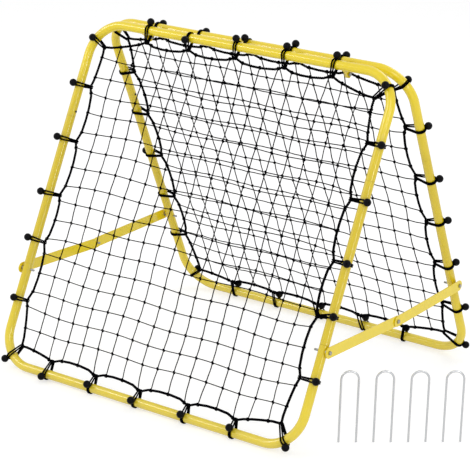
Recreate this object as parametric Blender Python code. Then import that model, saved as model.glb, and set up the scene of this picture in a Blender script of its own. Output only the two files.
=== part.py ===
# Double-sided football rebounder: two square tube frames hinged at the top, each with a net held by
# ball bungees, two pairs of folding braces and four loose ground pegs. Metres, +Z up, +X along the
# bars, +Y from the front frame to the rear one. The origin lies on the ground under the front bar.

import math

import bmesh
import bpy
from mathutils import Matrix, Vector

# Driving dimensions

FRAME_SPAN = 0.975  # between the centres of opposite bars, both ways
TUBE_RADIUS = 0.0125
TUBE_WALL = 0.0015
BEND_RADIUS = 0.095  # centreline of the four corner bends
HALF_OPENING = math.radians(25.0)  # lean of each frame from upright
GAP = 0.0003  # clearance between pieces that touch

LEG_STUB = 0.275  # from a bar's centre to the end of its bent leg
SCREW_DROP = 0.260  # from a bar's centre to its joint screws or bolts
SPIGOT_LENGTH = 0.035
BORE_DEPTH = 0.040

HINGE_ACROSS = 0.3224  # from the middle to the slip plane between two lugs
LUG_THICKNESS = 0.004
LUG_RADIUS = 0.010
PLANE_TO_HINGE = 0.031  # hinge axis behind the plane of a frame
BAR_TO_HINGE = 0.013  # hinge axis below the top bar's centre

BOLT_RADIUS = 0.003
HEAD_FLATS = 0.010
HEAD_HEIGHT = 0.004
HEAD_CROWN = 0.25  # share of a head's height that is chamfered
CROWN_SCALE = 0.86  # a head's top against its body
NUT_HEIGHT = 0.005
THREAD_END = 0.007  # bolt left showing beyond its nut
SCREW_RADIUS = 0.0018
SCREW_HEAD_RADIUS = 0.0032
SCREW_HEAD_HEIGHT = 0.0026
SCREW_LENGTH = 0.007
DOME_SHARE = 0.45  # share of a screw head's height that is domed
DOME_SCALE = 0.55  # its top against its rim

BRACE_WIDTH = 0.030
BRACE_THICKNESS = 0.003
BRACE_SAG = 0.010  # middle pivot below the line through the leg pivots
SPACER_RADIUS = 0.007
SPACER_LENGTH = 0.0044

HOOK_PITCH = 0.152  # between neighbouring bungees along a bar
HOOKS_PER_SIDE = 5
HOOK_INSET = 0.034  # border cord's centre inside the tube's centre, at a hook
CORNER_INSET = 0.042  # the same at a corner, where the loops stretch further
SCALLOP = 0.014  # how much further in the cord hangs between two hooks
SCALLOP_ROUND = 0.8  # power of the sine it follows; less than 1 is rounder
BORDER_RADIUS = 0.0033
BUNGEE_WIDTH = 0.008  # both strands of the elastic, side by side
BUNGEE_THICKNESS = 0.0035
BUNGEE_HOOK_WIDTH = 0.0035  # the same where they meet at the border cord
BUNGEE_TUCK = 0.0007  # how much the elastic thins where it turns round the border cord
BALL_RADIUS = 0.010
BALL_LIFT = 0.0015  # between a tube and a ball
BALL_SWELL = 1.07  # a faceted ball's corners stand out so that its size is right between them
SIDE_BALL = math.radians(55.0)  # balls' places round their tubes, from straight out
TOP_BALL = math.radians(50.0)
BOTTOM_BALL = math.radians(110.0)
LOW_CORNER_BALL = math.radians(70.0)
LOW_CORNER_ROOM = 0.0032  # more length in the loops at the lower corners

NET_LINES = 16  # cords each way, which make 17 by 17 meshes
NET_PITCH = 0.0515
NET_CORD_WIDTH = 0.0024
NET_CORD_HEIGHT = 0.0016

PEG_HEIGHT = 0.196
PEG_SPREAD = 0.0446  # between the centres of the two legs
PEG_WIRE_RADIUS = 0.0028
PEG_PITCH = 0.0892
PEG_COUNT = 4
PEG_ROW_START = Vector((0.537, 0.1655))  # middle of the first peg, on the ground
PEG_ROW_TURN = math.radians(39.5)  # of the row, from +X toward +Y

TUBE_SIDES = 10
BEND_STEPS = 5
CORD_SEGMENTS = 3  # straight pieces of border cord in one span

# Sizes that follow from them

TUBE_FLAT = TUBE_RADIUS * math.cos(math.pi / TUBE_SIDES)
BELT_INSIDE = TUBE_RADIUS + GAP
BELT_OUTSIDE = BELT_INSIDE + BUNGEE_THICKNESS
BALL_REACH = TUBE_RADIUS + BALL_LIFT + BALL_RADIUS  # ball's centre from the tube's centre
LEG_X = FRAME_SPAN / 2
TOP_Z = BAR_TO_HINGE
MIDDLE_Z = TOP_Z - FRAME_SPAN / 2
BRACE_Z = TOP_Z - FRAME_SPAN + SCREW_DROP


def leaned(y, z):
    """Place in world directions, from the hinge axis, of a point of the leaning front frame."""
    turn = Matrix.Rotation(-HALF_OPENING, 2)
    return turn @ Vector((y, z))


BOTTOM_BAR = leaned(-PLANE_TO_HINGE, TOP_Z - FRAME_SPAN)
HINGE_Y = -BOTTOM_BAR.x
HINGE_Z = BELT_OUTSIDE - BOTTOM_BAR.y
BRACE_FOOT = leaned(-PLANE_TO_HINGE, BRACE_Z)
BRACE_LENGTH = math.hypot(BRACE_FOOT.x, BRACE_SAG)
BRACE_TURN = HALF_OPENING - math.asin(BRACE_SAG / BRACE_LENGTH)
BRACE_TURN_FOLDED = math.acos(PLANE_TO_HINGE / BRACE_LENGTH)

print("hinge axis y", round(HINGE_Y, 5), "z", round(HINGE_Z, 5))
print("brace half", round(BRACE_LENGTH, 5), "opening", round(math.degrees(2 * HALF_OPENING), 3))
print("brace fold", round(math.degrees(BRACE_TURN_FOLDED - BRACE_TURN), 4))

# The scene starts empty

for leftover in list(bpy.data.objects):
    bpy.data.objects.remove(leftover, do_unlink=True)

# Materials


def material(name, colour, roughness, metallic):
    """A plain Principled surface; the colour is linear."""
    made = bpy.data.materials.new(name)
    made.use_nodes = True
    made.diffuse_color = (*colour, 1.0)
    shader = made.node_tree.nodes["Principled BSDF"]
    shader.inputs["Base Color"].default_value = (*colour, 1.0)
    shader.inputs["Roughness"].default_value = roughness
    shader.inputs["Metallic"].default_value = metallic
    return made


YELLOW_COAT = material("yellow_powder_coat", (0.78, 0.60, 0.045), 0.35, 0.0)
BLACK_ELASTIC = material("black_elastic", (0.012, 0.012, 0.018), 0.45, 0.0)
BLACK_CORD = material("black_net_cord", (0.010, 0.010, 0.012), 0.85, 0.0)
ZINC = material("zinc_plated_steel", (0.42, 0.42, 0.43), 0.35, 1.0)
PEG_STEEL = material("bright_steel_wire", (0.60, 0.60, 0.61), 0.28, 1.0)
DARK_SCREW = material("dark_screw", (0.05, 0.05, 0.055), 0.40, 1.0)

# Mesh helpers


def finish(bm, name, crease=38.0):
    """Write a bmesh out as a mesh, outward facing and smooth over its rounds."""
    bmesh.ops.recalc_face_normals(bm, faces=bm.faces)
    mesh = bpy.data.meshes.new(name)
    bm.to_mesh(mesh)
    bm.free()
    mesh.shade_smooth()
    mesh.set_sharp_from_angle(angle=math.radians(crease))
    return mesh


def disc(bm, radius, sides, place):
    """A filled circle with the middle of one side on its own +X."""
    turn = Matrix.Rotation((0.5 - sides / 4) * 2 * math.pi / sides, 4, "Z")
    bmesh.ops.create_circle(bm, cap_ends=True, radius=radius, segments=sides, matrix=place @ turn)
    bm.faces.ensure_lookup_table()
    return bm.faces[-1]


def push(bm, face, offset, scale=1.0):
    """Extrude a face along an offset and scale its far end about its middle."""
    out = bmesh.ops.extrude_face_region(bm, geom=[face, *face.edges])
    far = next(item for item in out["geom"] if isinstance(item, bmesh.types.BMFace))
    bmesh.ops.translate(bm, verts=far.verts, vec=offset)
    if scale != 1.0:
        about = Matrix.Translation(-far.calc_center_median())
        bmesh.ops.scale(bm, verts=far.verts, vec=(scale, scale, scale), space=about)
    return far


def bend(bm, face, centre, axis, angle, steps):
    """Sweep a face round a bend."""
    geometry = [face, *face.edges, *face.verts]
    out = bmesh.ops.spin(bm, geom=geometry, cent=centre, axis=axis, angle=angle, steps=steps)
    return next(item for item in out["geom_last"] if isinstance(item, bmesh.types.BMFace))


def boolean(mesh, operation, *tools):
    """A new mesh: the first one joined with, or cut by, the others."""
    body = bpy.data.objects.new("body", mesh)
    bpy.context.scene.collection.objects.link(body)
    helpers = []
    for tool in tools:
        helper = bpy.data.objects.new("tool", tool)
        bpy.context.scene.collection.objects.link(helper)
        modifier = body.modifiers.new("step", "BOOLEAN")
        modifier.operation = operation
        modifier.solver = "EXACT"
        modifier.object = helper
        helpers.append(helper)
    evaluated = body.evaluated_get(bpy.context.evaluated_depsgraph_get())
    made = bpy.data.meshes.new_from_object(evaluated)
    made.name = mesh.name
    for item in [body, *helpers]:
        bpy.data.objects.remove(item, do_unlink=True)
    made.shade_smooth()
    made.set_sharp_from_angle(angle=math.radians(38.0))
    return made


def gathered(name, placed):
    """One mesh from several, each with its own matrix."""
    bm = bmesh.new()
    for mesh, place in placed:
        start = len(bm.verts)
        bm.from_mesh(mesh)
        bm.verts.ensure_lookup_table()
        bmesh.ops.transform(bm, matrix=place, verts=bm.verts[start:])
    return finish(bm, name)


def rod(radius, start, end, sides=12):
    """A round bar along X."""
    bm = bmesh.new()
    face = disc(bm, radius, sides, Matrix.Translation((start, 0, 0)) @ ALONG_X)
    push(bm, face, (end - start, 0, 0))
    return finish(bm, "rod")


ALONG_X = Matrix.Rotation(math.radians(90.0), 4, "Y")
HALF_TURN_Y = Matrix.Rotation(math.pi, 4, "Y")
HALF_TURN_Z = Matrix.Rotation(math.pi, 4, "Z")


def bolt_hole(start, end):
    """A cutter along X for a bolt's hole, wide enough at its flats."""
    return rod((BOLT_RADIUS + GAP) / math.cos(math.pi / 8), start, end, 8)


def drill(radius, start, end, z, sides=6):
    """A cutter for a small hole along X through a frame's plane, wide enough at its flats."""
    hole = rod(radius / math.cos(math.pi / sides), start, end, sides)
    hole.transform(Matrix.Translation((0, -PLANE_TO_HINGE, z)))
    return hole


# Placing things

FRAMES = {}


def put(name, mesh, look, parent=None, at=(0, 0, 0), turn=(0, 0, 0)):
    """One named object."""
    made = bpy.data.objects.new(name, mesh)
    bpy.context.scene.collection.objects.link(made)
    made.parent = parent
    made.location = at
    made.rotation_euler = turn
    if not mesh.materials:
        mesh.materials.append(look)
    return made


for frame_name, facing in (("front", 0.0), ("rear", math.pi)):
    pivot = bpy.data.objects.new(frame_name + "_frame", None)
    bpy.context.scene.collection.objects.link(pivot)
    pivot.location = (0, HINGE_Y, HINGE_Z)
    pivot.rotation_euler = (-HALF_OPENING, 0, facing)
    FRAMES[frame_name] = pivot

# Frame tubes. Each frame is drawn upright about the hinge axis: X along the bars, Y toward the inside
# of the rebounder and Z up its legs.


def bent_tube():
    """Upper bend: a leg stub, a corner, the bar, a corner and a leg stub, with a bore in each leg."""
    bm = bmesh.new()
    stub_end = TOP_Z - LEG_STUB
    corner_z = TOP_Z - BEND_RADIUS
    corner_x = LEG_X - BEND_RADIUS
    start = disc(bm, TUBE_RADIUS, TUBE_SIDES, Matrix.Translation((-LEG_X, -PLANE_TO_HINGE, stub_end)))
    face = push(bm, start, (0, 0, corner_z - stub_end))
    left = (-corner_x, -PLANE_TO_HINGE, corner_z)
    face = bend(bm, face, left, (0, 1, 0), math.pi / 2, BEND_STEPS)
    face = push(bm, face, (2 * corner_x, 0, 0))
    right = (corner_x, -PLANE_TO_HINGE, corner_z)
    face = bend(bm, face, right, (0, 1, 0), math.pi / 2, BEND_STEPS)
    end = push(bm, face, (0, 0, stub_end - corner_z))
    bm.faces.ensure_lookup_table()
    level = [f for f in bm.faces if abs(f.calc_center_median().z - stub_end) < 1e-6]
    for mouth in level:
        bmesh.ops.inset_region(bm, faces=[mouth], thickness=TUBE_WALL, use_even_offset=True)
        push(bm, mouth, (0, 0, BORE_DEPTH))
    return finish(bm, "bent_tube")


def side_tube():
    """Straight leg piece with a reduced spigot at each end."""
    bm = bmesh.new()
    upper = TOP_Z - LEG_STUB - GAP
    lower = TOP_Z - FRAME_SPAN + LEG_STUB + GAP
    spigot = (TUBE_FLAT - TUBE_WALL - GAP) / TUBE_FLAT
    base = Matrix.Translation((-LEG_X, -PLANE_TO_HINGE, lower - SPIGOT_LENGTH))
    face = disc(bm, TUBE_RADIUS * spigot, TUBE_SIDES, base)
    face = push(bm, face, (0, 0, SPIGOT_LENGTH))
    face = push(bm, face, (0, 0, 0), 1 / spigot)
    face = push(bm, face, (0, 0, upper - lower))
    face = push(bm, face, (0, 0, 0), spigot)
    push(bm, face, (0, 0, SPIGOT_LENGTH))
    return finish(bm, "side_tube")


def hinge_lug(inner_x):
    """Tapered plate from the top bar down to the hinge axis."""
    bm = bmesh.new()
    outline = []
    steps = 6
    toward = math.atan2(TOP_Z, -PLANE_TO_HINGE)
    for centre, radius, facing in (
        (Vector((0, 0)), LUG_RADIUS, toward + math.pi),
        (Vector((-PLANE_TO_HINGE, TOP_Z)), TUBE_FLAT - TUBE_WALL / 2, toward),
    ):
        for step in range(steps + 1):
            angle = facing + math.pi * (step / steps - 0.5)
            point = centre + radius * Vector((math.cos(angle), math.sin(angle)))
            outline.append(bm.verts.new((inner_x, point.x, point.y)))
    push(bm, bm.faces.new(outline), (LUG_THICKNESS, 0, 0))
    return finish(bm, "hinge_lug")


def upper_tube(inner_x):
    """Upper bend with its two hinge lugs and the screw holes in its legs."""
    lug = hinge_lug(inner_x)
    lugs = gathered("lugs", [(lug, Matrix()), (lug, Matrix.Diagonal((-1, 1, 1, 1)))])
    body = boolean(bent_tube(), "UNION", lugs)
    pin = bolt_hole(inner_x - LUG_THICKNESS, inner_x + 2 * LUG_THICKNESS)
    eyes = gathered("eyes", [(pin, Matrix()), (pin, HALF_TURN_Z)])
    wall = LEG_X - TUBE_RADIUS - 2 * TUBE_WALL
    hole = drill(SCREW_RADIUS + GAP, wall, LEG_X, TOP_Z - SCREW_DROP)
    holes = gathered("holes", [(hole, Matrix()), (hole, Matrix.Diagonal((-1, 1, 1, 1)))])
    return boolean(body, "DIFFERENCE", eyes, holes)


def lower_tube():
    """The same bend turned over, with a brace bolt's hole across each leg."""
    body = bent_tube()
    centre = Matrix.Translation((0, -PLANE_TO_HINGE, MIDDLE_Z))
    body.transform(centre @ HALF_TURN_Y @ centre.inverted())
    hole = drill(BOLT_RADIUS + GAP, LEG_X - 2 * TUBE_RADIUS, LEG_X + 2 * TUBE_RADIUS, BRACE_Z)
    holes = gathered("holes", [(hole, Matrix()), (hole, Matrix.Diagonal((-1, 1, 1, 1)))])
    return boolean(body, "DIFFERENCE", holes)


def drilled_side_tube():
    """Side tube with the screw's blind hole above and the bolt's hole below."""
    screw = drill(SCREW_RADIUS + GAP, -LEG_X, -LEG_X + 2 * TUBE_RADIUS, TOP_Z - SCREW_DROP)
    bolt = drill(BOLT_RADIUS + GAP, -LEG_X - 2 * TUBE_RADIUS, -LEG_X + 2 * TUBE_RADIUS, BRACE_Z)
    return boolean(side_tube(), "DIFFERENCE", screw, bolt)


UPPER = {
    "front": upper_tube(HINGE_ACROSS + GAP / 2),
    "rear": upper_tube(HINGE_ACROSS - GAP / 2 - LUG_THICKNESS),
}
LOWER = lower_tube()
LEFT_SIDE = drilled_side_tube()
RIGHT_SIDE = LEFT_SIDE.copy()
RIGHT_SIDE.transform(Matrix.Diagonal((-1, 1, 1, 1)))
RIGHT_SIDE.flip_normals()

# Nuts, bolts and screws, drawn along +X with the piece they hold on their -X side


def hexagon(bm, place):
    """A filled hexagon of the size that all nuts and heads share."""
    return disc(bm, HEAD_FLATS / 2 / math.cos(math.pi / 6), 6, place)


def hex_bolt(head_x, tip_x):
    """Hexagon head with a chamfered crown, outside head_x, and a shank back to tip_x."""
    bm = bmesh.new()
    face = disc(bm, BOLT_RADIUS, 8, Matrix.Translation((tip_x, 0, 0)) @ ALONG_X)
    push(bm, face, (head_x + HEAD_HEIGHT / 2 - tip_x, 0, 0))
    shank = finish(bm, "hex_bolt")
    bm = bmesh.new()
    face = hexagon(bm, Matrix.Translation((head_x, 0, 0)) @ ALONG_X)
    face = push(bm, face, (HEAD_HEIGHT * (1 - HEAD_CROWN), 0, 0))
    push(bm, face, (HEAD_HEIGHT * HEAD_CROWN, 0, 0), CROWN_SCALE)
    head = finish(bm, "head")
    return boolean(shank, "UNION", head)


def hex_nut(near_x):
    """Hexagon nut from near_x inward, toward -X."""
    bm = bmesh.new()
    face = hexagon(bm, Matrix.Translation((near_x, 0, 0)) @ ALONG_X)
    push(bm, face, (-NUT_HEIGHT, 0, 0))
    body = finish(bm, "hex_nut")
    return boolean(body, "DIFFERENCE", bolt_hole(near_x - 2 * NUT_HEIGHT, near_x + NUT_HEIGHT))


def joint_screw():
    """Low domed head on the tube's inner side, shank into the tube, drawn along +X."""
    bm = bmesh.new()
    seat = TUBE_FLAT + GAP
    face = disc(bm, SCREW_RADIUS, 6, Matrix.Translation((seat - SCREW_LENGTH, 0, 0)) @ ALONG_X)
    push(bm, face, (SCREW_LENGTH + SCREW_HEAD_HEIGHT / 2, 0, 0))
    shank = finish(bm, "joint_screw")
    bm = bmesh.new()
    face = disc(bm, SCREW_HEAD_RADIUS, 8, Matrix.Translation((seat, 0, 0)) @ ALONG_X)
    face = push(bm, face, (SCREW_HEAD_HEIGHT * (1 - DOME_SHARE), 0, 0))
    push(bm, face, (SCREW_HEAD_HEIGHT * DOME_SHARE, 0, 0), DOME_SCALE)
    return boolean(shank, "UNION", finish(bm, "head"))


def spacer(length):
    """Short sleeve between a leg and a brace."""
    bm = bmesh.new()
    near = TUBE_FLAT + GAP
    face = disc(bm, SPACER_RADIUS, 10, Matrix.Translation((near, 0, 0)) @ ALONG_X)
    push(bm, face, (length, 0, 0))
    body = finish(bm, "spacer")
    return boolean(body, "DIFFERENCE", bolt_hole(0, near + 2 * length))


def brace_half():
    """Flat bar with round ends, from its leg pivot at the origin to the middle pivot along +Y."""
    bm = bmesh.new()
    outline = []
    steps = 6
    for centre, facing in ((0.0, -math.pi / 2), (BRACE_LENGTH, math.pi / 2)):
        for step in range(steps + 1):
            angle = facing + math.pi * (step / steps - 0.5)
            y = centre + BRACE_WIDTH / 2 * math.sin(angle)
            z = -BRACE_WIDTH / 2 * math.cos(angle)
            outline.append(bm.verts.new((-BRACE_THICKNESS / 2, y, z)))
    push(bm, bm.faces.new(outline), (BRACE_THICKNESS, 0, 0))
    bar = finish(bm, "brace_half")
    eye = bolt_hole(-BRACE_THICKNESS, BRACE_THICKNESS)
    far = Matrix.Translation((0, BRACE_LENGTH, 0))
    return boolean(bar, "DIFFERENCE", gathered("eyes", [(eye, Matrix()), (eye, far)]))


def middle_nut():
    """Nut with the bolt's end in it, which fills the eye of the inner brace half."""
    bm = bmesh.new()
    near = INNER_LAYER - BRACE_THICKNESS / 2 - GAP
    face = disc(bm, BOLT_RADIUS, 8, Matrix.Translation((near + GAP + BRACE_THICKNESS, 0, 0)) @ ALONG_X)
    push(bm, face, (-BRACE_THICKNESS - GAP - NUT_HEIGHT - THREAD_END / 2, 0, 0))
    end = finish(bm, "middle_nut")
    bm = bmesh.new()
    face = hexagon(bm, Matrix.Translation((near, 0, 0)) @ ALONG_X)
    push(bm, face, (-NUT_HEIGHT, 0, 0))
    return boolean(end, "UNION", finish(bm, "nut"))


INNER_LAYER = TUBE_FLAT + SPACER_LENGTH + 2 * GAP + BRACE_THICKNESS / 2
OUTER_LAYER = INNER_LAYER + BRACE_THICKNESS + GAP
NUT_SEAT = TUBE_FLAT + GAP
BOLT_TIP = -NUT_SEAT - NUT_HEIGHT - THREAD_END
LAYERS = {"front": INNER_LAYER, "rear": OUTER_LAYER}

BRACE = brace_half()
JOINT_SCREW = joint_screw()
LEG_NUT = hex_nut(-NUT_SEAT)
LEG_BOLTS = {}
SPACERS = {}
for frame_name, layer in LAYERS.items():
    LEG_BOLTS[frame_name] = hex_bolt(layer + BRACE_THICKNESS / 2 + GAP, BOLT_TIP)
    SPACERS[frame_name] = spacer(layer - BRACE_THICKNESS / 2 - 2 * GAP - TUBE_FLAT)
MIDDLE_BOLT = hex_bolt(OUTER_LAYER + BRACE_THICKNESS / 2 + GAP, OUTER_LAYER - BRACE_THICKNESS / 2)
MIDDLE_NUT = middle_nut()

HINGE_BOLT = hex_bolt(
    LUG_THICKNESS + 3 * GAP / 2, -LUG_THICKNESS - 3 * GAP / 2 - NUT_HEIGHT - THREAD_END / 2
)
HINGE_NUT = hex_nut(-LUG_THICKNESS - 3 * GAP / 2)

# Bungees. Drawn round a tube along X at the origin: +Z points out of the frame, -Y out of the
# rebounder, and the border cord passes at -Z.


def belt_outline(facets, inset, inside, hook_side, hook_end):
    """Corners in the YZ plane of a loop from the tube to the border cord, anticlockwise."""
    flank = math.pi / 2 + math.asin((inside - hook_side) / inset)
    sides = [(-flank, inside)]
    sides += [(math.radians(degrees), inside) for degrees in facets]
    sides += [(flank, inside), (math.pi, inset + hook_end)]
    corners = []
    for (a, reach_a), (b, reach_b) in zip(sides, sides[1:] + sides[:1]):
        spread = math.sin(b - a)
        up = (reach_a * math.sin(b) - reach_b * math.sin(a)) / spread
        out = (reach_b * math.cos(a) - reach_a * math.cos(b)) / spread
        corners.append((-out, up))
    return corners


def belt(facets, inset, inner_hook, outer_hook):
    """Elastic loop, both strands as one band that narrows to the border cord."""
    bm = bmesh.new()
    inner = belt_outline(facets, inset, BELT_INSIDE, *inner_hook)
    outer = belt_outline(facets, inset, BELT_OUTSIDE, *outer_hook)
    rings = []
    for side, corners in ((-1, outer), (-1, inner), (1, inner), (1, outer)):
        ring = []
        for y, z in corners:
            width = BUNGEE_HOOK_WIDTH if z < -inset / 2 else BUNGEE_WIDTH
            ring.append(bm.verts.new((side * width / 2, y, z)))
        rings.append(ring)
    count = len(inner)
    for ring, following in zip(rings, rings[1:] + rings[:1]):
        for k in range(count):
            near = (k + 1) % count
            bm.faces.new((ring[k], ring[near], following[near], following[k]))
    return finish(bm, "belt")


def ball(angle):
    """Moulded ball on the loop, at an angle from straight out toward the outside."""
    bm = bmesh.new()
    bmesh.ops.create_icosphere(bm, subdivisions=1, radius=BALL_RADIUS * BALL_SWELL)
    place = Matrix.Rotation(angle, 4, "X") @ Matrix.Translation((0, 0, BALL_REACH))
    bmesh.ops.transform(bm, matrix=place, verts=bm.verts)
    return finish(bm, "ball", 80.0)


def tied_bungee(inset, angle):
    """A loop with its ball whose end is sunk into the border cord."""
    facets = (-52.0, 0.0, 52.0)
    inner_hook = (0.0, -BORDER_RADIUS - GAP)
    outer_hook = (BUNGEE_THICKNESS - 2 * BUNGEE_TUCK, BORDER_RADIUS / 3)
    return boolean(belt(facets, inset, inner_hook, outer_hook), "UNION", ball(angle))


def loose_bungee(inset, angle, room):
    """A loop with its ball that runs round the border cord, flat where it meets the ground."""
    facets = (-65.0, -math.degrees(HALF_OPENING), 15.0, 55.0)
    side = BORDER_RADIUS + 2 * GAP + room / 4
    end = side + GAP + room
    thin = BUNGEE_THICKNESS - BUNGEE_TUCK
    loop = belt(facets, inset, (side, end), (side + thin, end + thin))
    return boolean(loop, "UNION", ball(angle))


SIDE_BUNGEE = tied_bungee(HOOK_INSET, SIDE_BALL)
TOP_BUNGEE = tied_bungee(HOOK_INSET, TOP_BALL)
TOP_CORNER_BUNGEE = tied_bungee(CORNER_INSET, TOP_BALL)
BOTTOM_BUNGEE = loose_bungee(HOOK_INSET, BOTTOM_BALL, 0.0)
LOW_CORNER_BUNGEE = loose_bungee(CORNER_INSET, LOW_CORNER_BALL, LOW_CORNER_ROOM)


def frame_stations():
    """Each bungee's side, kind, place and direction, clockwise from the top left corner."""
    reach = BEND_RADIUS * math.cos(math.pi / 4 / BEND_STEPS) * math.sqrt(0.5)
    corner = LEG_X - BEND_RADIUS + reach
    steps = [HOOK_PITCH * (k - (HOOKS_PER_SIDE - 1) / 2) for k in range(HOOKS_PER_SIDE)]
    stations = []
    for side in range(4):
        turn = Matrix.Rotation(-side * math.pi / 2, 2)
        diagonal = -side * 90.0 + 45.0
        stations.append((side, "corner", turn @ Vector((-corner, corner)), diagonal))
        for step in steps:
            stations.append((side, "bar", turn @ Vector((step, LEG_X)), -side * 90.0))
    return stations


STATIONS = frame_stations()


def station_matrix(station):
    """Frame place of a station: the loop turned so that it points out of the frame there."""
    side, kind, spot, degrees = station
    place = Matrix.Translation((spot.x, -PLANE_TO_HINGE, spot.y + MIDDLE_Z))
    return place @ Matrix.Rotation(-math.radians(degrees), 4, "Y")


def hook_point(station):
    """Where the border cord passes through a loop, from the frame's middle."""
    side, kind, spot, degrees = station
    angle = math.radians(degrees) + math.pi / 2
    inset = CORNER_INSET if kind == "corner" else HOOK_INSET
    return spot - inset * Vector((math.cos(angle), math.sin(angle)))


def cord_path():
    """Border cord's corners, from the frame's middle: pulled out at hooks, slack between them."""
    hooks = [hook_point(station) for station in STATIONS]
    path = []
    for here, there in zip(hooks, hooks[1:] + hooks[:1]):
        along = there - here
        inward = Vector((along.y, -along.x)).normalized()
        for k in range(CORD_SEGMENTS):
            share = k / CORD_SEGMENTS
            depth = SCALLOP * along.length / HOOK_PITCH * math.sin(math.pi * share) ** SCALLOP_ROUND
            path.append(here + share * along + depth * inward)
    return path


CORD_PATH = cord_path()


def border_cord():
    """Border cord with the bungees of the top, the sides and the upper corners."""
    curve = bpy.data.curves.new("border", "CURVE")
    curve.dimensions = "3D"
    curve.bevel_depth = BORDER_RADIUS
    curve.bevel_resolution = 0
    spline = curve.splines.new("POLY")
    spline.points.add(len(CORD_PATH) - 1)
    spline.use_cyclic_u = True
    for point, spot in zip(spline.points, CORD_PATH):
        point.co = (spot.x, -PLANE_TO_HINGE, spot.y + MIDDLE_Z, 1)
    guide = bpy.data.objects.new("border", curve)
    bpy.context.scene.collection.objects.link(guide)
    evaluated = guide.evaluated_get(bpy.context.evaluated_depsgraph_get())
    cord = bpy.data.meshes.new_from_object(evaluated)
    bpy.data.objects.remove(guide, do_unlink=True)
    placed = []
    for station in STATIONS:
        if not at_bottom(station):
            form = SIDE_BUNGEE if station[0] in (1, 3) else TOP_BUNGEE
            if station[1] == "corner":
                form = TOP_CORNER_BUNGEE
            placed.append((form, station_matrix(station)))
    return boolean(cord, "UNION", gathered("loops", placed))


def at_bottom(station):
    """True for the five loops of the bottom bar and the two at its corners."""
    side, kind, spot, degrees = station
    return spot.y < -LEG_X + BEND_RADIUS


# Net


def cord_distance(spot):
    """How far a point is from the border cord's centreline."""
    best = 1.0
    for here, there in zip(CORD_PATH, CORD_PATH[1:] + CORD_PATH[:1]):
        along = there - here
        share = (spot - here).dot(along) / along.length_squared
        nearest = here + min(max(share, 0.0), 1.0) * along
        best = min(best, (spot - nearest).length)
    return best


def strand_reach(offset, direction, across):
    """How far a net cord runs before it meets the border cord: in steps, then halved steps."""
    clear = BORDER_RADIUS + GAP
    reach = NET_PITCH * (NET_LINES - 1) / 2
    step = BORDER_RADIUS
    while step > 1e-6:
        tip = offset * across + (reach + step) * direction
        ends = [tip + side * NET_CORD_WIDTH / 2 * across for side in (-1, 1)]
        if min(cord_distance(end) for end in ends) > clear:
            reach += step
        else:
            step /= 2
    return reach


def net():
    """Knotted square net as one flat piece: a ridge along each cord, and a peak at each knot."""
    bm = bmesh.new()
    half = NET_CORD_WIDTH / 2
    lines = [NET_PITCH * (k - (NET_LINES - 1) / 2) for k in range(NET_LINES)]
    back = -PLANE_TO_HINGE + NET_CORD_HEIGHT / 2
    front = -PLANE_TO_HINGE - NET_CORD_HEIGHT / 2
    east, north = Vector((1, 0)), Vector((0, 1))

    def vert(spot, y):
        return bm.verts.new((spot.x, y, spot.y + MIDDLE_Z))

    knots = {}
    for i, x in enumerate(lines):
        for j, z in enumerate(lines):
            base = {}
            for a in (-1, 1):
                for b in (-1, 1):
                    base[a, b] = vert(Vector((x + a * half, z + b * half)), back)
            bm.faces.new((base[-1, -1], base[1, -1], base[1, 1], base[-1, 1]))
            knots[i, j] = (base, vert(Vector((x, z)), front))

    def strand(near, far):
        """Back and two slopes between two triangles of (left, right, peak)."""
        left, right, peak = near
        far_left, far_right, far_peak = far
        bm.faces.new((left, right, far_right, far_left))
        bm.faces.new((left, far_left, far_peak, peak))
        bm.faces.new((right, peak, far_peak, far_right))

    last = NET_LINES - 1
    for k in range(NET_LINES):
        for n in range(last):
            base, peak = knots[n, k]
            following, far_peak = knots[n + 1, k]
            strand((base[1, -1], base[1, 1], peak), (following[-1, -1], following[-1, 1], far_peak))
            base, peak = knots[k, n]
            following, far_peak = knots[k, n + 1]
            strand((base[-1, 1], base[1, 1], peak), (following[-1, -1], following[1, -1], far_peak))
        for direction, across, end, sign in (
            (east, north, (last, k), 1),
            (-east, north, (0, k), -1),
            (north, east, (k, last), 1),
            (-north, east, (k, 0), -1),
        ):
            base, peak = knots[end]
            reach = strand_reach(lines[k], direction, across)
            if across == north:
                near = (base[sign, -1], base[sign, 1], peak)
            else:
                near = (base[-1, sign], base[1, sign], peak)
            tip = reach * direction + lines[k] * across
            far = (vert(tip - half * across, back), vert(tip + half * across, back), vert(tip, front))
            strand(near, far)
            bm.faces.new(far)
    return finish(bm, "net", 20.0)


# Pegs


def peg():
    """Round wire bent to a U, standing on its two cut ends, drawn in the XZ plane."""
    bm = bmesh.new()
    crown = PEG_SPREAD / 2
    straight = PEG_HEIGHT - crown - PEG_WIRE_RADIUS
    face = disc(bm, PEG_WIRE_RADIUS, 6, Matrix.Translation((-crown, 0, 0)))
    face = push(bm, face, (0, 0, straight))
    face = bend(bm, face, (0, 0, straight), (0, 1, 0), math.pi, 8)
    push(bm, face, (0, 0, -straight))
    return finish(bm, "peg")


# Assembly

BORDER = border_cord()
NET = net()
PEG = peg()

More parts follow.
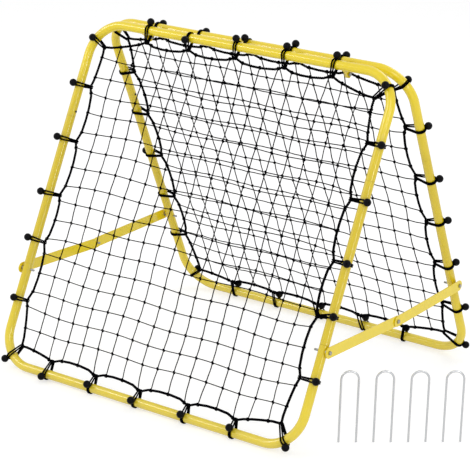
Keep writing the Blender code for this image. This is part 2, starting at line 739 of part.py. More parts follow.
for frame_name, frame in FRAMES.items():
    rear = frame_name == "rear"
    put(frame_name + "_upper_tube", UPPER[frame_name], YELLOW_COAT, frame)
    put(frame_name + "_lower_tube", LOWER, YELLOW_COAT, frame)
    put(frame_name + "_net", NET, BLACK_CORD, frame)
    put(frame_name + "_border_cord", BORDER, BLACK_CORD, frame)
    for side_name, side in (("left", -1), ("right", 1)):
        own = -side if rear else side
        outward = 0.0 if own > 0 else math.pi
        tag = frame_name + "_" + side_name
        pivot = (own * LEG_X, -PLANE_TO_HINGE, BRACE_Z)
        upright = (0, 0, outward)
        put(tag + "_side_tube", RIGHT_SIDE if own > 0 else LEFT_SIDE, YELLOW_COAT, frame)
        screw = (own * LEG_X, -PLANE_TO_HINGE, TOP_Z - SCREW_DROP)
        put(tag + "_joint_screw", JOINT_SCREW, DARK_SCREW, frame, screw, (0, 0, outward + math.pi))
        arm = (own * (LEG_X + LAYERS[frame_name]), -PLANE_TO_HINGE, BRACE_Z)
        put(tag + "_brace", BRACE, YELLOW_COAT, frame, arm, (BRACE_TURN, 0, 0))
        put(tag + "_brace_bolt", LEG_BOLTS[frame_name], ZINC, frame, pivot, upright)
        put(tag + "_brace_nut", LEG_NUT, ZINC, frame, pivot, upright)
        put(tag + "_brace_spacer", SPACERS[frame_name], ZINC, frame, pivot, upright)
    number = 0
    for station in STATIONS:
        if at_bottom(station):
            number += 1
            corner = station[1] == "corner"
            form = LOW_CORNER_BUNGEE if corner else BOTTOM_BUNGEE
            name = frame_name + "_bottom_bungee_" + str(number)
            loop = put(name, form, BLACK_ELASTIC, frame)
            loop.matrix_local = station_matrix(station)

for side_name, side in (("left", -1), ("right", 1)):
    outward = 0.0 if side > 0 else math.pi
    hinge = (side * HINGE_ACROSS, HINGE_Y, HINGE_Z)
    put(side_name + "_hinge_bolt", HINGE_BOLT, ZINC, None, hinge, (0, 0, outward))
    put(side_name + "_hinge_nut", HINGE_NUT, ZINC, None, hinge, (0, 0, outward))
    middle = (side * LEG_X, HINGE_Y, HINGE_Z + BRACE_FOOT.y - BRACE_SAG)
    put(side_name + "_middle_bolt", MIDDLE_BOLT, ZINC, None, middle, (0, 0, outward))
    put(side_name + "_middle_nut", MIDDLE_NUT, ZINC, None, middle, (0, 0, outward))

for k in range(PEG_COUNT):
    along = Vector((math.cos(PEG_ROW_TURN), math.sin(PEG_ROW_TURN)))
    spot = PEG_ROW_START + k * PEG_PITCH * along
    put("peg_" + str(k + 1), PEG, PEG_STEEL, None, (spot.x, spot.y, 0), (0, 0, PEG_ROW_TURN))
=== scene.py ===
# %% [markdown]
# # A folding soccer rebounder
#
# Two square frames of bent steel tube lean against each other like a tent and hinge at the top. A net
# hangs in each, on a rope that elastic loops hold to the tube, and every loop ends in a ball. This
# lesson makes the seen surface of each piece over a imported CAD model, which says where every piece
# goes and how it moves.

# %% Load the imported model
import math

import bmesh
import bpy
from mathutils import Matrix, Vector


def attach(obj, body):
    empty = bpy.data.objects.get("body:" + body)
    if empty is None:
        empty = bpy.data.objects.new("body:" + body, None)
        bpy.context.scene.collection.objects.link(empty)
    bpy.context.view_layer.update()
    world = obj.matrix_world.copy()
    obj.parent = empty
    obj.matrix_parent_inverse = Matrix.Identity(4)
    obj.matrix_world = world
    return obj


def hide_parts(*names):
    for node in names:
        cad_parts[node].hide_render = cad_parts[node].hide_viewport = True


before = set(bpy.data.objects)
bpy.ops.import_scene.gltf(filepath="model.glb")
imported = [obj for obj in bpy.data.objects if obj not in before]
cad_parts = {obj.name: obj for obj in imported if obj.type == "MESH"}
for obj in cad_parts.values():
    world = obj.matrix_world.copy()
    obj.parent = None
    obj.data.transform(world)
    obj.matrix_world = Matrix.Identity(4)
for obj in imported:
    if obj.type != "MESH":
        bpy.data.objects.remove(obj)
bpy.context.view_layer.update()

bpy.ops.object.select_all(action="DESELECT")

# %% [markdown]
# Each frame is easiest to model upright and on its own: X along its bars, Y toward the inside of the
# rebounder, Z up its legs, and the hinge line at the origin. One matrix then leans it and stands it in
# its place, and the rear frame is the same thing turned half round.

# %% The frame's sizes and where the two frames stand
SPAN = 0.975  # between the centres of opposite tubes
LEG = SPAN / 2
TUBE = 0.0125  # the tube's radius
WALL = 0.0015
BEND = 0.095  # the corners' radius, at the tube's centre
TOP = 0.013  # the top bar above the hinge line
MIDDLE = TOP - LEG
PLANE = -0.031  # the tubes, the rope and the net lie this far outside the hinge line
STUB = 0.275  # from a bar to the end of its bent leg
SEAM = 0.0003
LEAN = math.radians(25.0)
HINGE = Vector((0, 0.434654, 0.875067))
STANDS = {
    name: Matrix.Translation(HINGE) @ Matrix.Rotation(turn, 4, "Z") @ Matrix.Rotation(-LEAN, 4, "X")
    for name, turn in (("front", 0.0), ("rear", math.pi))
}
print("feet stand", round(2 * (STANDS["rear"] @ Vector((0, PLANE, TOP - SPAN)) - HINGE).y, 3), "m apart")

# %% [markdown]
# The camera comes first, because every later choice of detail depends on what it sees. It looks from
# the front right, a little from above, through a long lens, as for a catalogue picture.

# %% The camera
def put(name, data):
    """A new object of some data, in the scene."""
    made = bpy.data.objects.new(name, data)
    bpy.context.scene.collection.objects.link(made)
    return made


lens = bpy.data.cameras.new("catalogue_camera")
lens.sensor_width = 36.0
lens.lens = 148.116
camera = put("catalogue_camera", lens)
bpy.context.scene.camera = camera
camera.matrix_world = Matrix((
    (0.81275, -0.201275, 0.546741, 2.88268),
    (0.582016, 0.238037, -0.777558, -3.69018),
    (0.026358, 0.950172, 0.31061, 2.01578),
    (0, 0, 0, 1),
))
print("the camera stands", round((camera.location - HINGE).length, 2), "m from the hinge")

# %% [markdown]
# ## Finishes
# Every finish starts from what the real surface is. Hex colours are written as a screen shows them,
# and one function turns them into the linear values that a shader works with. Another adds a node with
# its settings and its inputs, where an input is a value, a hex colour or another node's output. A noise
# is scaled to the real size of what it stands for: its grain is one over its scale, in metres.

# %% Helpers for finishes
def linear(code):
    """The linear colour of an sRGB hex code."""
    shown = [int(code[k:k + 2], 16) / 255 for k in (1, 3, 5)]
    return [c / 12.92 if c <= 0.04045 else ((c + 0.055) / 1.055) ** 2.4 for c in shown] + [1.0]


def set_inputs(tree, node, inputs):
    """Sets or links a node's inputs; each is a value, a hex colour or a socket to link from."""
    for key, value in inputs.items():
        if isinstance(value, bpy.types.NodeSocket):
            tree.links.new(value, node.inputs[key])
        else:
            node.inputs[key].default_value = linear(value) if isinstance(value, str) else value


def add_node(tree, kind, inputs=None, **settings):
    """A new shader node of a kind, such as Math, with its settings and its inputs."""
    made = tree.nodes.new("ShaderNode" + kind)
    for key, value in settings.items():
        setattr(made, key, value)
    set_inputs(tree, made, inputs or {})
    return made


def new_finish(name):
    """A material with its node tree and its shader node."""
    made = bpy.data.materials.new(name)
    made.use_nodes = True
    return made, made.node_tree, made.node_tree.nodes["Principled BSDF"]


A, B, MIXED = 6, 7, 2  # the colour sockets of a Mix node set to RGBA
print("middle grey is", round(linear("#808080")[0], 3), "in linear light")

# %% [markdown]
# Powder coat is dry paint, charged, dusted on and baked. It flows into a skin that is smooth but never
# flat: a fine orange peel of about two millimetres, and a film that gets thin on sharp edges. An
# attribute named thin marks those edges. Dust settles low on the legs.

# %% Yellow powder coat
yellow_coat, tree, shader = new_finish("yellow_powder_coat_on_steel")
place = add_node(tree, "TexCoord").outputs["Object"]
cloud = add_node(tree, "TexNoise", {"Vector": place, "Scale": 13.0, "Detail": 3.0})  # 77 mm
film = add_node(tree, "Mix", {0: cloud.outputs["Fac"], A: "#F2D91E", B: "#E8CE14"}, data_type="RGBA")
thin = add_node(tree, "Attribute", attribute_name="thin").outputs["Fac"]
ragged = add_node(tree, "TexNoise", {"Vector": place, "Scale": 700.0, "Detail": 2.0})  # 1.4 mm
edge = add_node(tree, "Math", {0: thin, 1: ragged.outputs["Fac"]}, operation="MULTIPLY")
edged = add_node(tree, "Mix", {
    0: edge.outputs[0], A: film.outputs[MIXED], B: "#A88C1C"}, data_type="RGBA")
height = add_node(tree, "SeparateXYZ", {0: place}).outputs["Z"]
low = add_node(tree, "MapRange", {
    "Value": height, "From Min": 0.22, "From Max": 0.0, "To Max": 0.5}, clamp=True)
# flecks of 6 mm, coarser than real dust, so that they show
specks = add_node(tree, "TexNoise", {"Vector": place, "Scale": 160.0, "Detail": 5.0})
dust = add_node(tree, "Math", {0: low.outputs[0], 1: specks.outputs["Fac"]}, operation="MULTIPLY")
dusty = add_node(tree, "Mix", {
    0: dust.outputs[0], A: edged.outputs[MIXED], B: "#CDBB72"}, data_type="RGBA")
gloss = add_node(tree, "MapRange", {
    "Value": specks.outputs["Fac"], "From Min": 0.3, "From Max": 0.7, "To Min": 0.09, "To Max": 0.15})
peel = add_node(tree, "TexNoise", {"Vector": place, "Scale": 480.0, "Detail": 1.0})  # 2.1 mm
skin = add_node(tree, "Bump", {"Height": peel.outputs["Fac"], "Strength": 0.15, "Distance": 0.0002})
set_inputs(tree, shader, {
    "Base Color": dusty.outputs[MIXED], "Roughness": gloss.outputs[0], "Normal": skin.outputs[0],
    "Specular IOR Level": 0.65})
print(yellow_coat.name, "has", len(tree.nodes), "nodes")

# %% [markdown]
# The balls are moulded plastic: an even black with a slight gloss, a faint frost of fine scratches,
# and the line where the two halves of the mould met. A sphere's own UV map has that line at half its
# height.

# %% Moulded black plastic
ball_plastic, tree, shader = new_finish("moulded_black_nylon")
place = add_node(tree, "TexCoord")
frost = add_node(tree, "TexNoise", {
    "Vector": place.outputs["Object"], "Scale": 950.0, "Detail": 4.0})  # 1.1 mm
tone = add_node(tree, "Mix", {0: frost.outputs["Fac"], A: "#040406", B: "#0C0C10"}, data_type="RGBA")
sheen = add_node(tree, "MapRange", {"Value": frost.outputs["Fac"], "To Min": 0.26, "To Max": 0.44})
around = add_node(tree, "SeparateXYZ", {0: place.outputs["UV"]}).outputs["Y"]
parting = add_node(tree, "Math", {0: around, 1: 0.5, 2: 0.012}, operation="COMPARE")
relief = add_node(tree, "Math", {
    0: frost.outputs["Fac"], 1: 0.15, 2: parting.outputs[0]}, operation="MULTIPLY_ADD")
skin = add_node(tree, "Bump", {"Height": relief.outputs[0], "Strength": 0.5, "Distance": 0.0002})
set_inputs(tree, shader, {
    "Base Color": tone.outputs[MIXED], "Roughness": sheen.outputs[0], "Normal": skin.outputs[0],
    "Specular IOR Level": 0.07})
print(ball_plastic.name, "has", len(tree.nodes), "nodes")

# %% [markdown]
# Cords are made of strands that run round them on a slant, one way in a twisted cord and both ways in
# a braid. A curve that is turned to a mesh gets a UV map with its length along U and its girth along
# V, both from 0 to 1. A diagonal wave over that map makes the strands. A wave repeats every 0.628 of
# its input, so the map is scaled by 0.628 times the number of strands, and a whole number of them
# round the cord closes the pattern. The strands are drawn a little coarse so that they show. The wave
# also sets the colour: the grooves between strands get painted shade and their crests a painted
# highlight, and a lint noise mottles that as the cord's own uneven tone. Fibres trap light between
# them, so a black cord has no shine at all.

# %% A cord's finish, twisted or braided
WAVE = 2 * math.pi / 10


def cord_finish(name, dark, pale, along, girth, braided, relief):
    """Slanting strands on a cord: how many repeats along and round it, and how deep in metres."""
    made, tree, shader = new_finish(name)
    place = add_node(tree, "TexCoord")
    ways = []
    for slant in (1, -1) if braided else (1,):
        laid = add_node(tree, "Mapping", {
            "Vector": place.outputs["UV"], "Scale": (WAVE * along, slant * WAVE * girth, 0)})
        ways.append(add_node(tree, "TexWave", {
            "Vector": laid.outputs[0], "Scale": 1.0}, bands_direction="DIAGONAL").outputs["Fac"])
    strands = ways[0]
    if braided:
        strands = add_node(tree, "Math", {0: ways[0], 1: ways[1]}, operation="MULTIPLY").outputs[0]
    lint = add_node(tree, "TexNoise", {
        "Vector": place.outputs["Object"], "Scale": 420.0, "Detail": 4.0})  # 2.4 mm
    # painted shade in the grooves between strands and painted highlight on their crests, mottled by the
    # lint's real tone
    groove_shade_and_lint = add_node(tree, "Math", {0: strands, 1: lint.outputs["Fac"]}, operation="MULTIPLY")
    tone = add_node(tree, "Mix", {0: groove_shade_and_lint.outputs[0], A: dark, B: pale}, data_type="RGBA")
    worn = add_node(tree, "MapRange", {"Value": lint.outputs["Fac"], "To Min": 0.62, "To Max": 0.86})
    skin = add_node(tree, "Bump", {"Height": strands, "Strength": 0.8, "Distance": relief})
    set_inputs(tree, shader, {
        "Base Color": tone.outputs[MIXED], "Roughness": worn.outputs[0], "Normal": skin.outputs[0],
        "Specular IOR Level": 0.0})
    print(name, "repeats", along, "times along a cord and", girth, "times round it")
    return made


# each cord's paler colour is the painted highlight on its strands' crests, against the painted shade of the
# grooves
elastic = cord_finish("braided_elastic_cord", "#060608", "#121216", 96, 4, True, 0.00025)
rope_fibre = cord_finish("twisted_polypropylene_rope", "#060608", "#101014", 1400, 9, False, 0.0002)
net_twine = cord_finish("twisted_net_twine", "#060608", "#15151A", 240, 2, False, 0.0002)

# %% [markdown]
# The fittings are cold-headed steel, plated with zinc: silver grey, never a mirror, with a faint
# cloudy passivation that drifts between cool and warm. The pegs are bright drawn wire, which keeps
# long fine lines from the die. The small joint screws are blackened, so they are dark and slightly
# oily. A metal's colour is its base colour, and it keeps the default IOR. The zinc drifts over 4 mm and
# the blackened steel over 2 mm. The wire's lines are 1.1 mm apart and 28 mm long, and their relief is a
# sixth of that. Real die lines are finer still and would not show.

# %% Zinc plating, drawn wire and blackened steel
def metal_finish(name, first, second, scale, stretch, roughness, relief):
    """A metal whose colour and roughness drift between two values, over noise that may be drawn out.

    The drift's grain is one over its scale, in metres, and the fine grain is a sixth of that.
    """
    made, tree, shader = new_finish(name)
    place = add_node(tree, "TexCoord").outputs["Object"]
    laid = add_node(tree, "Mapping", {"Vector": place, "Scale": stretch}).outputs[0]
    drift = add_node(tree, "TexNoise", {"Vector": laid, "Scale": scale, "Detail": 3.0})
    tone = add_node(tree, "Mix", {0: drift.outputs["Fac"], A: first, B: second}, data_type="RGBA")
    dull = add_node(tree, "MapRange", {
        "Value": drift.outputs["Fac"], "To Min": roughness[0], "To Max": roughness[1]})
    grain = add_node(tree, "TexNoise", {"Vector": laid, "Scale": scale * 6, "Detail": 2.0})
    skin = add_node(tree, "Bump", {"Height": grain.outputs["Fac"], "Strength": 0.4, "Distance": relief})
    set_inputs(tree, shader, {
        "Base Color": tone.outputs[MIXED], "Roughness": dull.outputs[0], "Normal": skin.outputs[0],
        "Metallic": 1.0})
    print(name, "drifts from", first, "to", second)
    return made


zinc = metal_finish("zinc_plated_steel", "#8D9094", "#A9A69C", 260.0, (1, 1, 1), (0.26, 0.44), 0.0001)
wire = metal_finish("bright_drawn_wire", "#B0B2B5", "#D2D3D5", 900.0, (1, 1, 0.04), (0.2, 0.34), 0.00008)
black_steel = metal_finish("blackened_steel", "#1C1C1F", "#3A3A3F", 500.0, (1, 1, 1), (0.3, 0.5), 0.0001)

# %% [markdown]
# ## How the pieces are made
# A piece starts as a primitive at its real size and is shaped in edit mode. Its finished object sits
# at the origin with its place in its mesh, so a form that repeats is copied by moving a copy of its
# mesh. Operators act on all that is selected, so nothing else is selected when one starts.

# %% Helpers for edit mode
def start_edit():
    """Into edit mode with everything of the active piece selected."""
    bpy.ops.object.mode_set(mode="EDIT")
    bpy.ops.mesh.select_all(action="SELECT")


def draw_out(x=0.0, y=0.0, z=0.0):
    """Extrudes what is selected by an offset in metres."""
    bpy.ops.mesh.extrude_region_move(TRANSFORM_OT_translate={"value": (x, y, z)})


def choose(rule, kind="faces"):
    """Selects the faces, edges or verts of the edited piece whose middle fits a rule."""
    piece = bpy.context.object
    bm = bmesh.from_edit_mesh(piece.data)
    bpy.ops.mesh.select_all(action="DESELECT")
    for part in getattr(bm, kind):
        middle = part.co if kind == "verts" else sum((v.co for v in part.verts), Vector()) / len(part.verts)
        if rule(piece.matrix_world @ middle):
            part.select_set(True)
    bm.select_flush_mode()
    bmesh.update_edit_mesh(piece.data)


def end_edit(name=None, look=None):
    """Back to object mode, with the place put into the mesh. Returns the piece."""
    bpy.ops.object.mode_set(mode="OBJECT")
    bpy.ops.object.transform_apply(location=True, rotation=True, scale=True)
    piece = bpy.context.object
    if name:
        piece.name = name
    if look:
        piece.data.materials.append(look)
    return piece


def face_outward(closed=True):
    """Turns all faces of the edited piece outward, after its open ends are closed or as they are."""
    bpy.ops.mesh.select_all(action="SELECT")
    if closed:
        bpy.ops.mesh.fill_holes(sides=0)
    bpy.ops.mesh.normals_make_consistent(inside=False)


print("helpers for edit mode are ready")

# %% Helpers for whole pieces
def select_only(*parts):
    """Selects these pieces and no others, the first one active."""
    bpy.ops.object.select_all(action="DESELECT")
    for part in parts:
        part.select_set(True)
    bpy.context.view_layer.objects.active = parts[0]


def modify(piece, kind, **settings):
    """Adds a modifier with its settings and applies it."""
    added = piece.modifiers.new(kind.lower(), kind)
    for key, value in settings.items():
        setattr(added, key, value)
    bpy.context.view_layer.objects.active = piece
    bpy.ops.object.modifier_apply(modifier=added.name)


def soften(piece, width, degrees=50.0):
    """Bevels the edges that are sharper than an angle."""
    modify(piece, "BEVEL", width=width, segments=2, limit_method="ANGLE", angle_limit=math.radians(degrees))


def drop(*forms):
    """Removes forms that have been copied."""
    for form in forms:
        bpy.data.objects.remove(form)


def cut(piece, tool, operation="DIFFERENCE"):
    """Cuts a tool's shape out of a piece, or keeps what they share, and removes the tool."""
    modify(piece, "BOOLEAN", operation=operation, object=tool, solver="EXACT")
    drop(tool)


def join(parts):
    """One object of several, under the first one's name."""
    select_only(*parts)
    bpy.ops.object.join()
    parts[0].select_set(False)
    return parts[0]


def smooth(piece, degrees=35.0):
    """Smooth shading, but for edges sharper than an angle, with bevels that leave the flats flat."""
    select_only(piece)
    bpy.ops.object.shade_smooth_by_angle(angle=math.radians(degrees))
    modify(piece, "WEIGHTED_NORMAL", keep_sharp=True)
    piece.select_set(False)
    return piece


def moved_copy(form, matrix, name="copy"):
    """A copy of a form with its own mesh, which a matrix has moved."""
    made = put(name, form.data.copy())
    made.data.transform(matrix)
    return made


def copy_to(form, name, matrix, body, slot, *nodes):
    """A copy of a form in its place, riding on a body and standing for nodes."""
    piece = moved_copy(form, matrix, name)
    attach(piece, body)
    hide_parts(*nodes)


SIDES = {"left": -1, "right": 1}
print("helpers for whole pieces are ready")

# %% [markdown]
# The bent tube is one ring of edges that travels: up the leg, round the corner with the spin tool,
# along the bar, round again and down. Spin counts the other way round its axis, so its angle gets a
# minus. Solidify then gives the tube its wall, and a small bevel rounds the rim that shows as a fine
# line where two tubes meet.

# %% A bent tube
def ring(radius, sides, spot, turn=(0, 0, 0)):
    """An open ring of edges in edit mode."""
    bpy.ops.mesh.primitive_circle_add(vertices=sides, radius=radius, location=spot, rotation=turn)
    start_edit()


def bend(x, z, steps, turn):
    """Spins the ring by an angle round a centre at x and z, from the left over the top to the right."""
    bpy.ops.mesh.spin(steps=steps, angle=-turn, center=(x, PLANE, z), axis=(0, 1, 0))


def mark_thin(piece, thin_at):
    """Writes the attribute that says where the paint film is thin, from a rule on each point."""
    marks = piece.data.attributes.new("thin", "FLOAT", "POINT")
    marks.data.foreach_set("value", [thin_at(v.co) for v in piece.data.vertices])


ROUND = 40  # sides of a tube
RIM = 0.0004  # the bevel at a tube's cut end
WORN = 0.0012  # how far from the end the paint is thin

ring(TUBE, ROUND, (-LEG, PLANE, TOP - STUB))
draw_out(z=STUB - BEND)
bend(BEND - LEG, TOP - BEND, 16, math.pi / 2)
draw_out(x=2 * (LEG - BEND))
bend(LEG - BEND, TOP - BEND, 16, math.pi / 2)
draw_out(z=BEND - STUB)
face_outward(closed=False)
bent = end_edit("bent_tube", yellow_coat)
modify(bent, "SOLIDIFY", thickness=WALL, offset=-1.0)
soften(bent, RIM)
smooth(bent)
mark_thin(bent, lambda spot: max(0.0, 1.0 - (spot.z - TOP + STUB) / WORN))
print("the bent tube has", len(bent.data.polygons), "faces")

# %% [markdown]
# Four plates carry the hinge. Each is welded to the top bar and reaches down to the hinge line. Two
# rings, one round the bar's centre and one round the hinge, are drawn out to the plate's thickness,
# and a convex hull stretched over both gives the tapered outline. A weld runs round the bar on both
# faces of the plate: part of a torus, made uneven as a bead is.

# %% A hinge plate and its welds
PLATE = 0.004
EYE = 0.010
SADDLED = 0.0112  # the outline round the bar, which stays inside the tube
BAR = Vector((0, PLANE, TOP))
ACROSS = (0, math.pi / 2, 0)

ring(EYE, ROUND, (0, 0, 0), ACROSS)
bpy.ops.mesh.primitive_circle_add(vertices=ROUND, radius=SADDLED, location=BAR, rotation=ACROSS)
bpy.ops.mesh.select_all(action="SELECT")
draw_out(x=PLATE)
bpy.ops.mesh.select_all(action="SELECT")
bpy.ops.mesh.convex_hull()
bpy.ops.mesh.dissolve_limited(angle_limit=math.radians(1))
plate = end_edit("hinge_plate", yellow_coat)
soften(plate, 0.0005)


BEAD = 0.0013  # a weld bead's radius
RIPPLE = 0.0003


def weld(x):
    """A bead round the bar at x, on the side that faces the hinge, with 31 ripples to a full turn."""
    bpy.ops.mesh.primitive_torus_add(
        location=(x, BAR.y, BAR.z), rotation=ACROSS, major_radius=TUBE + RIPPLE, minor_radius=BEAD,
        major_segments=64, minor_segments=10)
    start_edit()
    choose(lambda spot: (spot - BAR).normalized().dot(-BAR.normalized()) < 0.42, "verts")
    bpy.ops.mesh.delete(type="VERT")
    face_outward()
    bead = end_edit("weld", yellow_coat)
    for v in bead.data.vertices:
        v.co.x += RIPPLE * math.sin(31 * math.atan2(v.co.z - BAR.z, v.co.y - BAR.y))
    return bead


welded = smooth(join([plate, weld(-0.0004), weld(PLATE + 0.0004)]))
mark_thin(welded, lambda spot: 0.6 if spot.yz.length > EYE - 0.0008 and spot.x in (0, PLATE) else 0.0)
print("the plate reaches", round(1000 * BAR.length), "mm from the bar's centre to the hinge")

# %% [markdown]
# The front frame's plates stand just outside the rear frame's. Each upper tube is joined with its two
# plates, and each lower tube is the bent tube turned over about the frame's middle.

# %% The upper and lower tubes in place
PLATES_AT = 0.3224
middle = Matrix.Translation((0, PLANE, MIDDLE))
turned_over = middle @ Matrix.Rotation(math.pi, 4, "Y") @ middle.inverted()
for name, stand in STANDS.items():
    inner = PLATES_AT + SEAM / 2 if name == "front" else PLATES_AT - SEAM / 2 - PLATE
    upper = join([moved_copy(bent, Matrix())] + [
        moved_copy(welded, Matrix.Translation((x, 0, 0))) for x in (inner, -inner - PLATE)])
    for form, end, at in ((upper, "upper", stand), (bent, "lower", stand @ turned_over)):
        copy_to(form, f"{name}_{end}_frame_tube", at, name + "_frame", "yellow_powder_coat",
                f"{name}_{end}_tube")
    drop(upper)
    print(name, "frame has its bent tubes")
drop(bent, welded)

# %% [markdown]
# A straight side tube closes each side of a frame. At both ends it steps down to a spigot that slides
# into the bent tube, so the joint shows as one thin ring. It is the same travelling ring, scaled in
# and out on the way.

# %% The side tubes
SPIGOT = 0.86  # its radius as a share of the tube's
PLUG = 0.02  # its length
LENGTH = SPAN - 2 * STUB - 2 * SEAM
ring(TUBE * SPIGOT, ROUND, (0, 0, -LENGTH / 2 - PLUG))
draw_out(z=PLUG)
for scale, rise in ((1 / SPIGOT, LENGTH), (SPIGOT, PLUG)):
    draw_out()
    bpy.ops.transform.resize(value=(scale, scale, 1))
    draw_out(z=rise)
face_outward(closed=False)
straight = end_edit("side_tube", yellow_coat)
soften(straight, RIM)
smooth(straight)
mark_thin(straight, lambda spot: max(0.0, 1.0 - (LENGTH / 2 - abs(spot.z)) / WORN))
for name, stand in STANDS.items():
    for side, sign in SIDES.items():
        own = sign if name == "front" else -sign
        spot = Matrix.Translation((own * LEG, PLANE, MIDDLE))
        copy_to(straight, f"{name}_{side}_straight_tube", stand @ spot, name + "_frame",
                "yellow_powder_coat", f"{name}_{side}_side_tube")
drop(straight)
print("side tubes are", round(LENGTH, 3), "m long between the joints")

# %% [markdown]
# ## Fittings
# Bolts and nuts are six-sided prisms whose corners a lathe has turned off, which leaves the curved
# edges that a real bolt head has. A disc with a bevelled rim does the lathe's work: only what lies
# inside it stays. Every fitting is drawn along X, with the piece that it holds on its inner side.

# %% Six-sided prisms with turned corners
FLATS = 0.010  # across a head's flats
DISC = FLATS / 2 * 1.135  # the turned disc's radius, just short of the corners
CHAMFER = 0.0011
HEAD = 0.004
NUT = 0.005
BORE = 0.003  # the shank's radius
THREAD = 0.0005


def rod(sides, radius, start, end):
    """A cylinder along X from start to end, in edit mode."""
    bpy.ops.mesh.primitive_cylinder_add(
        vertices=sides, radius=radius, depth=abs(end - start), location=((start + end) / 2, 0, 0),
        rotation=ACROSS)
    start_edit()


def hexagon(start, end, both):
    """A prism from start to end along X, its corners turned off at the outer end or at both."""
    rod(48, DISC, start, end)
    choose(lambda spot: abs(spot.x - end) < 1e-5 or both and abs(spot.x - start) < 1e-5)
    bpy.ops.mesh.bevel(offset=CHAMFER, segments=1, affect="EDGES")
    disc = end_edit("turned_disc")
    rod(6, FLATS / 2 / math.cos(math.pi / 6), start, end)
    prism = end_edit("hexagon", zinc)
    cut(prism, disc, "INTERSECT")
    return prism


def shank(start, end, threaded):
    """A shank along X from start to end; its last part carries ridges, as a thread does."""
    step = THREAD if end > start else -THREAD
    ring(BORE, 24, (start, 0, 0), ACROSS)
    draw_out(x=end - start - step * 2 * threaded)
    for _ in range(threaded):
        for scale in (0.87, 1 / 0.87):
            draw_out(x=step)
            bpy.ops.transform.resize(value=(1, scale, scale))
    bpy.ops.mesh.edge_face_add()
    bpy.ops.mesh.inset(thickness=THREAD)
    bpy.ops.transform.translate(value=(step * 0.6, 0, 0))
    face_outward()
    return end_edit("shank", zinc)


def hex_bolt(head, tip, ridges):
    """A bolt with its head outside `head` and its shank back to `tip`."""
    return smooth(join([hexagon(head, head + HEAD, False), shank(head + 0.001, tip, ridges)]), 30)


def hex_nut(near):
    """A nut from `near` toward -X, both its faces turned."""
    return smooth(hexagon(near, near - NUT, True), 30)


test = hex_bolt(0.0, -0.02, 8)
print("a bolt has", len(test.data.polygons), "faces and is", round(1000 * test.dimensions.x, 1), "mm long")
drop(test)

# %% [markdown]
# A spacer between a round leg and a flat brace is a saddle: flat outside and hollowed inside to sit on
# the tube. The hollow is cut with a cylinder of the tube's own radius.

# %% Saddle spacers and joint screws
SADDLE = 0.007  # a spacer's radius
SCREW = 0.0032  # a screw head's radius
SLOT = 0.0007


def saddle(end):
    """A spacer round the leg's bolt, from inside the tube's curve out to `end`."""
    rod(40, SADDLE, 0.0098, end)
    piece = end_edit("saddle", zinc)
    bpy.ops.mesh.primitive_cylinder_add(vertices=64, radius=TUBE + 0.00005, depth=0.04)
    cut(piece, bpy.context.object)
    soften(piece, 0.0004, 60.0)
    return smooth(piece, 30)


def joint_screw():
    """A domed screw head with a crossed slot, seated on the tube."""
    seat, top = TUBE - 0.0004, TUBE + 0.0022
    rod(32, SCREW, seat, top)
    choose(lambda spot: spot.x > top - 0.0001)
    bpy.ops.mesh.bevel(offset=SCREW / 2, segments=5, affect="EDGES")
    head = end_edit("screw", black_steel)
    for size in ((0.002, 0.0034, SLOT), (0.002, SLOT, 0.0034)):
        bpy.ops.mesh.primitive_cube_add(size=1, location=(top, 0, 0), scale=size)
        cut(head, bpy.context.object)
    return smooth(head, 30)


screw = joint_screw()
print("the screw head has", len(screw.data.polygons), "faces")

# %% [markdown]
# The brace is a flat bar with round ends. It starts as one disc: half of its points are moved away by
# the bar's length, which stretches the disc to the bar. Two holes take the bolts, and a bevel softens
# the edges as paint does.

# %% A brace half
BRACE = 0.324927  # between its two pivots
BRACE_WIDTH = 0.030
BRACE_THICK = 0.003

rod(48, BRACE_WIDTH / 2, -BRACE_THICK / 2, BRACE_THICK / 2)
choose(lambda spot: spot.y > 0, "verts")
bpy.ops.transform.translate(value=(0, BRACE, 0))
brace = end_edit("brace", yellow_coat)
for y in (0, BRACE):
    bpy.ops.mesh.primitive_cylinder_add(
        vertices=32, radius=BORE + 0.0001, depth=0.01, location=(0, y, 0), rotation=ACROSS)
    cut(brace, bpy.context.object)
soften(brace, 0.0006)
smooth(brace)
mark_thin(brace, lambda spot: 0.5 if abs(spot.x) < BRACE_THICK / 2 - 0.0002 else 0.0)
print("the brace is", round(1000 * brace.dimensions.y), "by", round(1000 * brace.dimensions.z), "mm")

# %% [markdown]
# The braces sit in two layers on each side, the front half inside and the rear half outside, so that
# they fold past each other. Each leg has a bolt, a nut and a saddle at its brace, and a small screw
# higher up. The layers' depths are counted outward from the leg's centre.

# %% Fittings on the legs, and the braces
LAYER = {"front": 0.018388, "rear": 0.021688}
BOLT_TIP = -0.024188
FITTED = 0.260  # the brace bolts above the bottom bar, and the screws below the top bar
MIDDLE_PIVOT = Vector((0, HINGE.y, 0.24194))


def facing(sign):
    """No turn for a fitting on the right, half a turn about Z for one on the left."""
    return Matrix.Rotation(0 if sign > 0 else math.pi, 4, "Z")


